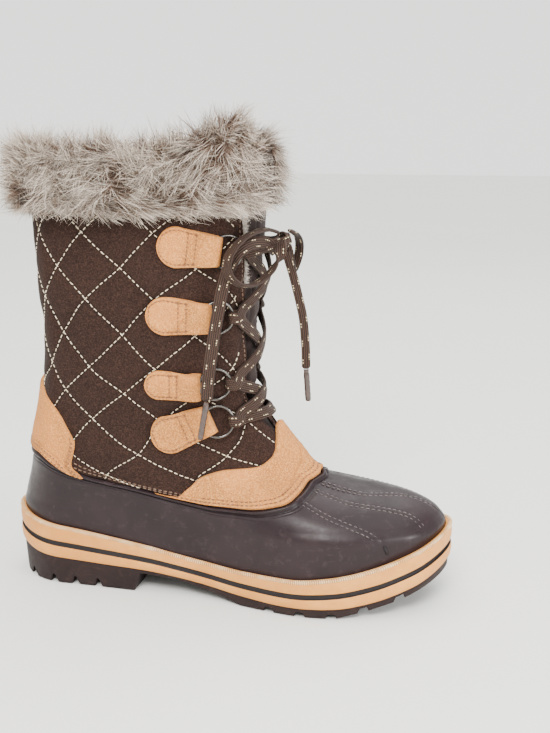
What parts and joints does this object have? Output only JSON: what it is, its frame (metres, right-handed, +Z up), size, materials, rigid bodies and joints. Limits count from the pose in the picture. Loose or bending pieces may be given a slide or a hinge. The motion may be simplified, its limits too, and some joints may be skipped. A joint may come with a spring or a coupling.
{
  "type": "snow boot",
  "caption": "Lace-up winter boot: rubber lower shell on a lugged sole, quilted suede shaft with tan suede patches and ringed lace tabs, and a deep fur collar.",
  "frame": {"origin": "middle of the boot's footprint on the ground", "axes": "+X from the heel to the toe, +Y to the inner (medial) side, +Z up from the ground"},
  "size_m": [0.29, 0.133, 0.301],
  "materials": {
    "outsole": "matte dark brown-grey moulded rubber",
    "midsole": "tan rubber foxing, satin",
    "shell": "dark brown-grey moulded rubber, satin",
    "insole": "grey felt",
    "upper": "dark brown brushed suede, quilted",
    "tongue": "grey-brown twill nylon",
    "suede": "tan suede, stitched",
    "ring": "bright nickel-plated wire",
    "fur": "long grey-beige pile with brown roots",
    "lace": "brown flat woven lace with beige flecks",
    "aglet": "dark brown translucent film"
  },
  "bodies": {
    "root": {"midsole": "midsole", "outsole": "outsole", "shell": "shell", "insole": "insole", "upper": "upper", "tongue": "tongue", "saddle": "suede", "heel_patch": "suede", "tab_lateral_1": "suede", "ring_lateral_1": "ring", "tab_medial_1": "suede", "ring_medial_1": "ring", "tab_lateral_2": "suede", "ring_lateral_2": "ring", "tab_medial_2": "suede", "ring_medial_2": "ring", "tab_lateral_3": "suede", "ring_lateral_3": "ring", "tab_medial_3": "suede", "ring_medial_3": "ring", "tab_lateral_4": "suede", "ring_lateral_4": "ring", "tab_medial_4": "suede", "ring_medial_4": "ring", "fur_collar": "fur", "lace_crossings": "lace", "lace_knot": "lace", "lace_loop_near": "lace", "lace_loop_far": "lace", "lace_end_near": "lace", "lace_end_far": "lace", "aglet_near": "aglet", "aglet_far": "aglet"}
  },
  "joints": []
}
